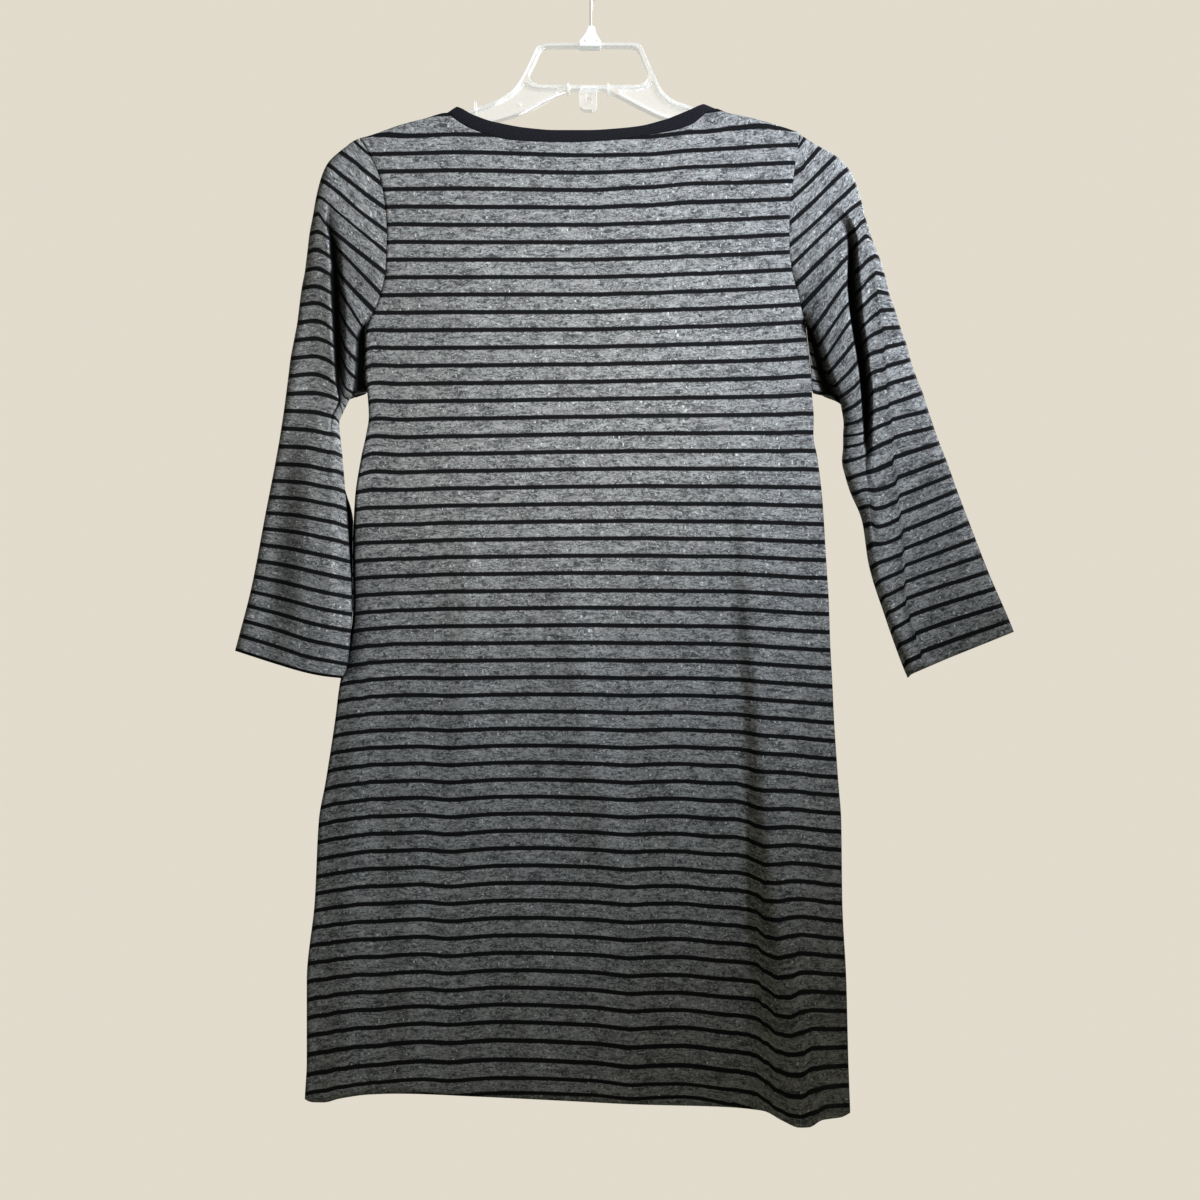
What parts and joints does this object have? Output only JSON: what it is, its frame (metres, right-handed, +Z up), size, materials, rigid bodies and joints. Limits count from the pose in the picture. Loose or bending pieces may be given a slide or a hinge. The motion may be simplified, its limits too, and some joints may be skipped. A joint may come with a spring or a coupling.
{
  "type": "shift dress on a hanger",
  "caption": "Striped grey and black jersey shift dress with three-quarter sleeves and a black neck binding, hanging flat on a clear plastic hanger with a steel hook.",
  "frame": {"origin": "inside of the top of the hook's crown, where a rail carries the hanger", "axes": "+Z up, X across the shoulders, the dress's back faces -Y and its front +Y"},
  "size_m": [0.6965, 0.068, 1.0433],
  "materials": {
    "striped_jersey": "heather grey cotton jersey with narrow black stripes across",
    "black_rib": "plain black fine rib",
    "clear_plastic": "clear moulded polystyrene, polished",
    "steel_wire": "bright zinc-plated wire"
  },
  "bodies": {
    "root": {"back_panel": "striped_jersey", "front_panel": "striped_jersey", "left_sleeve": "striped_jersey", "right_sleeve": "striped_jersey", "neck_binding": "black_rib", "hanger_frame": "clear_plastic", "hanger_hook": "steel_wire"}
  },
  "joints": []
}
